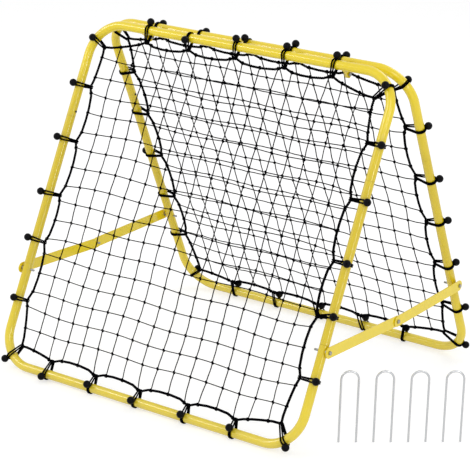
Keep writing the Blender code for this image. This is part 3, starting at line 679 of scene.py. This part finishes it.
nut = hex_nut(-TUBE - 0.0001)
for name, stand in STANDS.items():
    layer = LAYER[name]
    bolt = hex_bolt(layer + BRACE_THICK / 2 + SEAM, BOLT_TIP, 6)
    spacer = saddle(layer - BRACE_THICK / 2 - SEAM)
    for side, sign in SIDES.items():
        own = sign if name == "front" else -sign
        tag = f"{name}_{side}"
        leg = stand @ Matrix.Translation((own * LEG, PLANE, 0))
        at_brace = leg @ Matrix.Translation((0, 0, TOP - SPAN + FITTED)) @ facing(own)
        for form, end, part in (
            (bolt, "bolt", "bolt"), (nut, "nut", "nut"), (spacer, "saddle", "spacer"),
        ):
            copy_to(form, f"{tag}_leg_{end}", at_brace, name + "_frame", "zinc_plated_steel",
                    f"{tag}_brace_{part}")
        at_joint = leg @ Matrix.Translation((0, 0, TOP - FITTED)) @ facing(-own)
        copy_to(screw, tag + "_leg_screw", at_joint, name + "_frame", "dark_screw", tag + "_joint_screw")
        foot = at_brace.translation
        run = MIDDLE_PIVOT - foot
        laid = Matrix.Translation((sign * (LEG + layer), foot.y, foot.z)) @ Matrix.Rotation(
            math.atan2(run.z, run.y), 4, "X")
        copy_to(brace, tag + "_brace_half", laid, tag + "_brace", "yellow_powder_coat", tag + "_brace")
    drop(bolt, spacer)
drop(nut, screw, brace)
print("braces meet", round(MIDDLE_PIVOT.z, 3), "m above the ground")

# %% Fittings at the hinge and at the braces' middle
OUTER = LAYER["rear"] + BRACE_THICK / 2
INNER = LAYER["front"] - BRACE_THICK / 2
HINGE_FACE = PLATE + 0.00045  # the two plates' outer faces, from the middle of the gap between them
hinge_bolt = hex_bolt(HINGE_FACE, -0.01295, 5)
hinge_nut = hex_nut(-HINGE_FACE)
middle_bolt = hex_bolt(OUTER + SEAM, OUTER - BRACE_THICK, 0)
middle_nut = smooth(join([
    hexagon(INNER - SEAM, INNER - SEAM - NUT, True), shank(INNER + BRACE_THICK, 0.008088, 4)]), 30)
for side, sign in SIDES.items():
    for form, name, at, body in (
        (hinge_bolt, "hinge_bolt", HINGE + Vector((sign * PLATES_AT, 0, 0)), "front_frame"),
        (hinge_nut, "hinge_nut", HINGE + Vector((sign * PLATES_AT, 0, 0)), "front_frame"),
        (middle_bolt, "middle_bolt", MIDDLE_PIVOT + Vector((sign * LEG, 0, 0)), f"rear_{side}_brace"),
        (middle_nut, "middle_nut", MIDDLE_PIVOT + Vector((sign * LEG, 0, 0)), f"front_{side}_brace"),
    ):
        copy_to(form, f"{side}_{name}_turned", Matrix.Translation(at) @ facing(sign), body,
                "zinc_plated_steel", f"{side}_{name}")
drop(hinge_bolt, hinge_nut, middle_bolt, middle_nut)
print("hinge bolts are", round(2 * PLATES_AT, 3), "m apart")

# %% [markdown]
# ## The elastic loops
# Each loop is one elastic cord with both ends knotted inside a ball. It goes round the tube and the
# net's rope, and its bight hooks over the ball again. Seen from its end, the loop is the belt of two
# pulleys, the tube and the rope, so its mid-line is two arcs and two straight runs. The two strands
# follow that belt side by side, part round the ball's foot and close behind it.

# %% The belt round the tube and the rope
STRAND = 0.0022
ROPE = 0.0036
BIG = TUBE + STRAND - 0.0002  # a tight cord flattens a little
SMALL = ROPE + STRAND - 0.0006


def belt_length(inset):
    """The flank's angle, a straight run's length and the whole belt's length."""
    flank = math.pi - math.acos((BIG - SMALL) / inset)
    run = math.sqrt(inset ** 2 - (BIG - SMALL) ** 2)
    return flank, run, 2 * (BIG * flank + run + SMALL * (math.pi - flank))


def belt(along, inset):
    """Point and outward direction on the belt, `along` metres from its top toward the inside."""
    flank, run, whole = belt_length(inset)
    along %= whole
    mirrored = along > whole / 2
    if mirrored:
        along = whole - along
    if along < BIG * flank:
        angle, centre, radius = along / BIG, 0.0, BIG
    elif along < BIG * flank + run:
        share = (along - BIG * flank) / run
        angle, centre, radius = flank, -inset * share, BIG + (SMALL - BIG) * share
    else:
        angle, centre, radius = flank + (along - BIG * flank - run) / SMALL, -inset, SMALL
    out = Vector((0, math.sin(angle), math.cos(angle)))
    point = Vector((0, 0, centre)) + radius * out
    if mirrored:
        point.y, out.y = -point.y, -out.y
    return point, out


print("a belt is", round(1000 * belt_length(0.034)[2]), "mm long")

# %% [markdown]
# A curve through those points, with a round bevel, is the cord. The two strands leave the rope side by
# side, spread on their way to the ball and close behind its foot. The ball is a sphere with a blind
# hole at its outer end, where the knot shows. It sits at its own angle round the tube, and it drags the
# loop a little to one side, as on the real thing, where no two loops hang alike.

# %% The strands of a loop
BALL = 0.0104
REACH = 0.024  # the ball's centre from the tube's
PARTED = 0.0046  # half the gap between the strands at the ball's foot


def new_curve(name, radius=0.0, fineness=0):
    """A curve with a round bevel, or with none for a radius of nothing."""
    curve = bpy.data.curves.new(name, "CURVE")
    curve.dimensions, curve.bevel_depth, curve.bevel_resolution = "3D", radius, fineness
    return curve


def add_line(curve, spots, closed=False):
    """Adds straight steps from spot to spot to a curve. Returns the line's points."""
    line = curve.splines.new("POLY")
    line.points.add(len(spots) - 1)
    line.use_cyclic_u = closed
    for point, spot in zip(line.points, spots):
        point.co = (*spot, 1)
    return line.points


def as_mesh(curve, name, look):
    """A curve turned into a mesh object with a finish, its UV map along and round it."""
    select_only(put(name, curve))
    bpy.ops.object.convert(target="MESH")
    made = bpy.context.object
    made.data.materials.append(look)
    made.data.shade_smooth()
    made.select_set(False)
    return made


def half_strand(foot, inset, apart):
    """One of a loop's two strands, from the ball's hole round to the far side of the ball's foot."""
    whole = belt_length(inset)[2]
    hook = (whole / 2 - foot) % whole
    points = []  # how far along the belt, aside and off the belt
    for along, lift in ((0.0, 0.006), (0.0006, 0.0032), (0.0018, 0.001), (0.0036, 0.0001)):
        points.append((along, 0.0013 + 0.1 * along, lift))
    for k in range(47):
        along = 0.006 + (whole - 0.006) * k / 46
        spread = max(0.0, (along - hook) / (whole - hook))
        points.append((along, apart + (PARTED - apart) * spread, 0.0))
    for k in range(1, 7):
        angle = math.pi / 2 * k / 6
        lift = 0.003 * (1 - math.cos(angle))
        points.append((whole + 0.0058 * math.sin(angle), PARTED * math.cos(angle), lift))
    strand = []
    for along, x, lift in points:
        point, out = belt(foot + along, inset)
        strand.append(point + lift * out + Vector((x, 0, 0)))
    return strand


print("each loop's strand follows", len(half_strand(0.0, 0.034, STRAND)), "points")

# %% A loop with its ball
def ball_form():
    """A ball with a blind hole on top, and the knot that closes it."""
    bpy.ops.mesh.primitive_uv_sphere_add(segments=28, ring_count=18, radius=BALL)
    start_edit()
    choose(lambda spot: spot.z > BALL * 0.965)
    draw_out()
    bpy.ops.transform.resize(value=(0.86, 0.86, 1))
    draw_out(z=-0.0028)
    piece = end_edit("ball", ball_plastic)
    bpy.ops.mesh.primitive_uv_sphere_add(
        segments=12, ring_count=8, radius=0.0021, location=(0, 0, BALL - 0.0022))
    start_edit()
    return smooth(join([piece, end_edit("knot", elastic)]), 40)


def loop_with_ball(ball, inset, degrees, lean, apart):
    """The loop for a ball at an angle from straight out toward the outside, leaning along the tube."""
    angle = math.radians(degrees)
    centre = REACH * Vector((0, -math.sin(angle), math.cos(angle)))
    whole = belt_length(inset)[2]
    foot = min((whole * k / 1000 for k in range(1000)), key=lambda s: (belt(s, inset)[0] - centre).length)
    right = half_strand(foot, inset, apart)
    left = [Vector((-p.x, p.y, p.z)) for p in right[-2::-1]]
    curve = new_curve("loop", STRAND, 2)
    add_line(curve, [
        (p.x + lean * min(max((p.z + inset) / inset, 0.0), 1.0), p.y, p.z) for p in right + left])
    seat = Matrix.Translation(centre + Vector((lean, 0, 0))) @ Matrix.Rotation(angle, 4, "X")
    return join([as_mesh(curve, "loop", elastic), moved_copy(ball, seat)])


ball = ball_form()
print("the ball has", len(ball.data.polygons), "faces")

# %% [markdown]
# The loops hang at even stations: one at each corner and five along each tube, the same on both
# frames. Side 0 is the top, the sides follow clockwise, and each side starts with its corner. Hands put
# the loops on, so each is a little off its station. The numbers come from the real object: how far a
# loop is off along the tube, how far its hook is pulled outward, both in millimetres, the ball's angle
# in degrees, and how far the ball drags the loop aside, in millimetres again. Most strands touch where
# they leave the rope, and four at the rear bottom hang open.

# %% Stations round a frame
PITCH = 0.152
INSET = 0.034  # from the tube's centre to the rope's at a hook
CORNER_INSET = 0.042
LOOPS = {
    "front": (
        ((-26, 2, 101, 0), (0, 1, 12, -2), (-11, 2, 117, -4),
         (-9, 4, 42, -2), (-3, 3, 12, -6), (-7, 3, 12, 1)),
        ((18, -1, 81, -8), (-2, -2, 52, 1), (-6, -4, 42, 0),
         (3, -4, 61, 0), (-5, -7, 54, -8), (2, -8, 51, -1)),
        ((2, -1, 31, 10), (8, 2, 117, -1), (7, 3, 103, 0),
         (12, 5, 93, 4), (11, 2, 107, 4), (12, 0, 66, 6)),
        ((-6, 5, 31, -3), (-8, 4, 92, -1), (7, 2, 56, 2),
         (-9, -4, 49, -2), (-6, -8, 66, 1), (-1, -5, 74, 0)),
    ),
    "rear": (
        ((-8, 0, 103, -6), (6, 2, 86, 10), (8, 3, 58, 9),
         (5, 4, -13, 4), (4, 3, 97, 8), (2, 2, 94, 5)),
        ((7, 6, 110, -4), (-9, 0, 45, 5), (-12, -2, 50, -4),
         (-12, -4, 14, 2), (-9, -4, 52, -2), (-12, -3, 45, 3)),
        ((0, 7, 82, -7), (-12, -1, 132, 4), (-11, -2, 132, 3),
         (-12, -1, 145, 7), (-12, -2, 150, 10), (-12, -3, 132, -8)),
        ((4, -3, 17, 11), (-6, -9, 36, -9), (-7, -6, 54, -1),
         (-12, -5, 36, 7), (-10, -9, 36, -4), (3, -9, 54, 1)),
    ),
}
# loops that hang open: half the gap between their strands at the rope, in metres
SPLAYED = {("rear", 2, 1): 0.0026, ("rear", 2, 2): 0.003, ("rear", 2, 3): 0.006, ("rear", 2, 4): 0.005}


def heading(angle):
    """The direction in a frame's plane at an angle from its X."""
    return Vector((math.cos(angle), math.sin(angle)))


def stations(name):
    """Each loop's side, number, place from the frame's middle, direction, inset, ball angle and lean."""
    made = []
    for side, row in enumerate(LOOPS[name]):
        turn = Matrix.Rotation(-side * math.pi / 2, 2)
        for k, (off, pull, degrees, lean) in enumerate(row):
            spot, aim = Vector((PITCH * (k - 3) + off / 1000, LEG)), 0.0
            if k == 0:
                aim = 45.0 - math.degrees(off / 1000 / BEND)
                spot = Vector((BEND - LEG, LEG - BEND)) + BEND * heading(math.radians(aim + 90.0))
            inset = (INSET if k else CORNER_INSET) - pull / 1000
            made.append((side, k, turn @ spot, aim - 90.0 * side, inset, degrees, lean / 1000))
    return made


def in_plane(spot, turn):
    """Puts a form at a spot of the frame's own plane, turned in it."""
    return Matrix.Translation((spot.x, PLANE, spot.y + MIDDLE)) @ Matrix.Rotation(turn, 4, "Y")


print(len(stations("front")), "stations on each frame")

# %% Place the loops
for name, stand in STANDS.items():
    number = 0
    for side, k, spot, degrees, inset, turn, lean in stations(name):
        form = loop_with_ball(ball, inset, turn, lean, SPLAYED.get((name, side, k), STRAND + 0.0001))
        at = in_plane(spot, -math.radians(degrees))
        node = name + "_border_cord"
        if spot.y < BEND - LEG:
            number += 1
            node = f"{name}_bottom_bungee_{number}"
        copy_to(form, f"{name}_loop_{'top right bottom left'.split()[side]}_{k}", stand @ at,
                name + "_frame", "black_elastic", node)
        drop(form)
    print(name, "frame has", number, "loops at the ground")
drop(ball)

# %% [markdown]
# ## The rope
# The rope that edges the net is three strands laid together. Each loop pulls it out to a sharp corner,
# and the ties of the net draw it in between, so it runs from tie to tie in nearly straight steps. A
# clover-shaped bevel with a twist along the curve gives the strands, at a lay of 18 mm, and a whole
# number of turns makes both ends meet.

# %% The rope's path
SCALLOP = 0.0135
TIED = (0.0, 0.18, 0.4, 0.62, 0.84)  # where ties pull the rope, as shares of a span


def steps_of(path):
    """The closed path's steps, as pairs of points."""
    return list(zip(path, path[1:] + path[:1]))


def rope_path(name, steps=6):
    """Points of the rope from the frame's middle, clockwise, starting at the top left corner."""
    hooks = []
    for _, k, spot, degrees, inset, _, _ in stations(name):
        hooks.append((spot - inset * heading(math.radians(degrees + 90.0)), k))
    kinks = []
    for (here, k), (there, _) in steps_of(hooks):
        run = there - here
        inward = Vector((run.y, -run.x)).normalized()
        depth = SCALLOP * run.length / PITCH * (0.45 if k in (0, 5) else 1.0)
        for share in TIED:
            kinks.append(here + share * run + depth * (1 - abs(2 * share - 1) ** 3.4) * inward)
    return [here.lerp(there, n / steps) for here, there in steps_of(kinks) for n in range(steps)]


def rounded(path):
    """The same closed path with each corner cut."""
    return [a.lerp(b, share) for a, b in steps_of(path) for share in (0.25, 0.75)]


ROPES = {name: rounded(rope_path(name)) for name in STANDS}
for name, path in ROPES.items():
    print("the", name, "rope is", round(sum((b - a).length for a, b in steps_of(path)), 2), "m long")

# %% The rope's twisted body
LAY = 0.018


def clover():
    """The rope's section: three round strands that touch."""
    lobe, off = ROPE * 0.58, ROPE * 0.47
    rim = []
    for k in range(12):
        aside = math.radians((k % 4 - 1.5) * 30)
        reach = off * math.cos(aside) + math.sqrt(lobe ** 2 - (off * math.sin(aside)) ** 2)
        rim.append((reach * heading(2 * math.pi * k / 12)).to_3d())
    outline = bpy.data.curves.new("clover", "CURVE")
    add_line(outline, rim, closed=True)
    return put("clover", outline)


section = clover()
for name, stand in STANDS.items():
    path = ROPES[name]
    length = sum((b - a).length for a, b in steps_of(path))
    turns, along = round(length / LAY), 0.0
    curve = new_curve("rope")
    curve.bevel_mode, curve.bevel_object = "OBJECT", section
    points = add_line(curve, [(spot.x, PLANE, spot.y + MIDDLE) for spot in path], closed=True)
    for point, (spot, after) in zip(points, steps_of(path)):
        point.tilt = 2 * math.pi * turns * along / length
        along += (after - spot).length
    rope = as_mesh(curve, "rope", rope_fibre)
    copy_to(rope, name + "_edge_rope", stand, name + "_frame", "black_net_cord", name + "_border_cord")
    drop(rope)
    print("the", name, "rope turns", turns, "times")
drop(section)

# %% [markdown]
# ## The net
# The net is a square mesh of thin twine, sixteen lines each way, with a knot at every crossing. It
# isn't ruled: the loops pull it out at their hooks, so its lines lean toward them near the edge, and
# the rest wavers a little. One function says where a point of the ruled net really lies, and strands
# and knots both use it, so they stay together.

# %% How the net is drawn
MESH = 0.0515
LINES = [MESH * (k - 7.5) for k in range(16)]
EDGE = LEG - INSET
FELT = 0.11  # how far in from the rope the loops' pull is felt
OUTWARD, ASIDE = 0.003, 0.006  # how far it moves the net at the rope


def drawn(x, z):
    """Where a point of the ruled net lies, from the frame's middle."""
    move = Vector((0.0022 * math.sin(23 * z + 9 * x + 1), 0.0026 * math.sin(21 * x - 8 * z + 2)))
    for near, along, out, side in (
        (EDGE - z, x, Vector((0, 1)), Vector((1, 0))), (EDGE + z, x, Vector((0, -1)), Vector((1, 0))),
        (EDGE - x, z, Vector((1, 0)), Vector((0, 1))), (EDGE + x, z, Vector((-1, 0)), Vector((0, 1))),
    ):
        pull = max(0.0, 1.0 - near / FELT) ** 2
        wave = 2 * math.pi * along / PITCH
        move += pull * (OUTWARD * math.cos(wave) * out - ASIDE * math.sin(wave) * side)
    return Vector((x, z)) + move


def crossing(a, b, c, d):
    """Where the line from a to b crosses the one from c to d, as a share of the first, or None."""
    first, second, gap = b - a, d - c, c - a
    area = first.cross(second)
    if abs(area) < 1e-12:
        return None
    s, t = gap.cross(second) / area, gap.cross(first) / area
    return s if 0 <= s <= 1 and 0 <= t <= 1 else None


print("meshes are", round(1000 * MESH, 1), "mm wide, with", len(LINES) ** 2, "knots in each net")

# %% Strands from rope to rope
TWINE = 0.0015


def strand_line(offset, upright, rope_steps):
    """Points of one strand, and the rope's direction where each of its ends is tied."""
    def at(t):
        return drawn(offset, t) if upright else drawn(t, offset)

    step = MESH / 8
    points = [at(LINES[0] + step * k) for k in range(8 * 15 + 1)]
    ends = []
    for way in (-1, 1):
        outer, last = [], at(way * LINES[-1])
        for k in range(1, 30):
            here = at(way * (LINES[-1] + step * k))
            hits = [(crossing(last, here, c, d), d - c) for c, d in rope_steps if (c - here).length < 0.03]
            hits = [(share, run) for share, run in hits if share is not None]
            if hits:
                outer.append(last.lerp(here, hits[0][0]))
                ends.append((outer[-1], hits[0][1]))
                break
            outer.append(here)
            last = here
        points = outer[::-1] + points if way < 0 else points + outer
    return points, ends


def net_strands(rope_steps):
    """All strands of a net as one mesh, and the places where they are tied to the rope."""
    curve = new_curve("strands", TWINE, 1)
    ties = []
    for upright in (True, False):
        for offset in LINES:
            points, ends = strand_line(offset, upright, rope_steps)
            ties += ends
            lift = 0.0006 if upright else -0.0006
            add_line(curve, [
                (p.x, PLANE + lift * math.sin(0.9 * k), p.y + MIDDLE) for k, p in enumerate(points)])
    return as_mesh(curve, "strands", net_twine), ties


print("the net's twine is", round(2000 * TWINE, 1), "mm thick")

# %% [markdown]
# A knot is the one shape that repeats five hundred times, so it has few faces: a small sphere,
# stretched along the slant in which the twine was pulled tight and waisted where it crosses itself. At
# the rope each strand ends in two turns round it.

# %% Knots and ties
KNOT = 0.0046  # its radius, before it is stretched
bpy.ops.mesh.primitive_uv_sphere_add(segments=8, ring_count=6, radius=KNOT, rotation=ACROSS)
start_edit()
bpy.ops.transform.resize(value=(1.1, 0.75, 0.92))
choose(lambda spot: abs(spot.x) < 0.0003, "verts")
bpy.ops.transform.resize(value=(1, 0.8, 0.8))
knot = end_edit("knot", net_twine)
knot.data.shade_smooth()

TIE = 0.0012  # its twine is pulled thinner
TIE_WIDTH = 0.005
curve = new_curve("tie", TIE)
add_line(curve, [
    ((k / 16 - 0.5) * TIE_WIDTH, *(ROPE + 0.0007) * heading(math.pi * k / 4)) for k in range(17)])
tie = as_mesh(curve, "tie", net_twine)
print("a knot has", len(knot.data.polygons), "faces and a tie has", len(tie.data.polygons))

# %% The two nets
for name, stand in STANDS.items():
    body, ties = net_strands(steps_of(ROPES[name]))
    parts = [body]
    for i, x in enumerate(LINES):
        for j, z in enumerate(LINES):
            slant = math.radians(45 + 14 * math.sin(5 * i + 3 * j))
            parts.append(moved_copy(knot, in_plane(drawn(x, z), slant)))
    for spot, run in ties:
        parts.append(moved_copy(tie, in_plane(spot, -math.atan2(run.y, run.x))))
    net = join(parts)
    copy_to(net, name + "_knotted_net", stand, name + "_frame", "black_net_cord", name + "_net")
    print("the", name, "net has", len(net.data.polygons), "faces and", len(ties), "ends tied to the rope")
    drop(net)
drop(knot, tie)

# %% [markdown]
# ## The pegs
# Four pegs of round wire stand beside the rebounder, ready to pin it to the ground. Each is the
# travelling ring again: up, half round and down. The cut ends are slightly broken.

# %% Pegs
WIRE = 0.0028
CROWN = 0.0223  # the radius of its bend
TALL = 0.196
RISE = TALL - CROWN - WIRE
APART = 0.0892
FIRST = (0.537, 0.1655, 0)
ROW = math.radians(39.5)  # the row's turn from the bars
ring(WIRE, 20, (-CROWN, 0, 0))
draw_out(z=RISE)
bend(0, RISE, 28, math.pi)
draw_out(z=-RISE)
face_outward()
peg = end_edit("peg", wire)
soften(peg, 0.0005, 60.0)
smooth(peg)
row = Matrix.Translation(FIRST) @ Matrix.Rotation(ROW, 4, "Z")
for k in range(4):
    at = row @ Matrix.Translation((APART * k, 0, 0))
    copy_to(peg, f"wire_peg_{k + 1}", at, "front_frame", "bright_steel_wire", f"peg_{k + 1}")
drop(peg)
print("pegs stand", round(1000 * TALL), "mm tall")

# %% [markdown]
# ## Floor and light
# The ground is a large pale sheet. For the camera it is half as pale and adds the rest as its own even
# light, so it shows just white from near to far, thin cords stay dark against it, and the shadow stays.
# The world is white to the camera too. Reflections see both as the camera does, and the light that they
# shed on the object is greyer. Soft lamps light the object at a plain level. Two long narrow ones stand
# where the legs and the bars mirror them, and they draw the fine bright line that round tubes show
# along their length.

# %% The floor
def in_sight(tree):
    """1 for a ray from the camera, off something shiny or through something clear, and 0 for the rest."""
    ray = add_node(tree, "LightPath").outputs
    direct = add_node(tree, "Math", {0: ray["Is Camera Ray"], 1: ray["Is Glossy Ray"]}, operation="MAXIMUM")
    return add_node(tree, "Math", {
        0: direct.outputs[0], 1: ray["Is Transmission Ray"]}, operation="MAXIMUM").outputs[0]


OWN_LIGHT = 0.58  # what the floor adds for the camera
bpy.ops.mesh.primitive_plane_add(size=60)
floor = bpy.context.object
floor.name = "floor"
paper, tree, shader = new_finish("matt_white_paper")
grain = add_node(tree, "TexNoise", {"Scale": 40.0, "Detail": 3.0})  # 25 mm, as laid paper
tone = add_node(tree, "Mix", {0: grain.outputs["Fac"], A: "#F4F4F4", B: "#F8F8F8"}, data_type="RGBA")
seen = in_sight(tree)
shown = add_node(tree, "Mix", {0: seen, A: tone.outputs[MIXED], B: "#BCBCBC"}, data_type="RGBA")
own = add_node(tree, "Math", {0: seen, 1: OWN_LIGHT}, operation="MULTIPLY")
set_inputs(tree, shader, {
    "Base Color": shown.outputs[MIXED], "Roughness": 0.9, "Emission Color": "#FFFFFF",
    "Emission Strength": own.outputs[0]})
floor.data.materials.append(paper)
print("the floor is", floor.dimensions.x, "m wide")

# %% The world and the lamps
SHED = 0.68  # the world's strength for all that is out of the camera's sight
world = bpy.data.worlds.new("studio")
bpy.context.scene.world = world
world.use_nodes = True
tree = world.node_tree
level = add_node(tree, "MapRange", {"Value": in_sight(tree), "To Min": SHED, "To Max": 1.0})
set_inputs(tree, tree.nodes["Background"], {"Color": "#FFFFFF", "Strength": level.outputs[0]})


def lamp(name, spot, width, height, power):
    """An area lamp that faces the object's middle."""
    light = bpy.data.lights.new(name, "AREA")
    light.shape, light.size, light.size_y, light.energy = "RECTANGLE", width, height, power
    made = put(name, light)
    made.location = spot
    made.rotation_euler = (Vector((0, 0.43, 0.4)) - made.location).to_track_quat("-Z", "Y").to_euler()


lamp("key", (2.4, -2.6, 3.6), 1.6, 1.6, 26)
lamp("line on legs", (4.4, -1.4, 1.9), 0.35, 2.2, 30)
lamp("line on bars", (-2.8, -2.3, 3.0), 1.8, 0.45, 24)
lamp("fill", (-3.4, -1.6, 2.8), 2.8, 2.8, 20)
lamp("back", (0.6, 3.6, 3.4), 2.4, 2.4, 34)
bpy.context.scene.view_settings.view_transform = "Standard"
print("five lamps and the world")
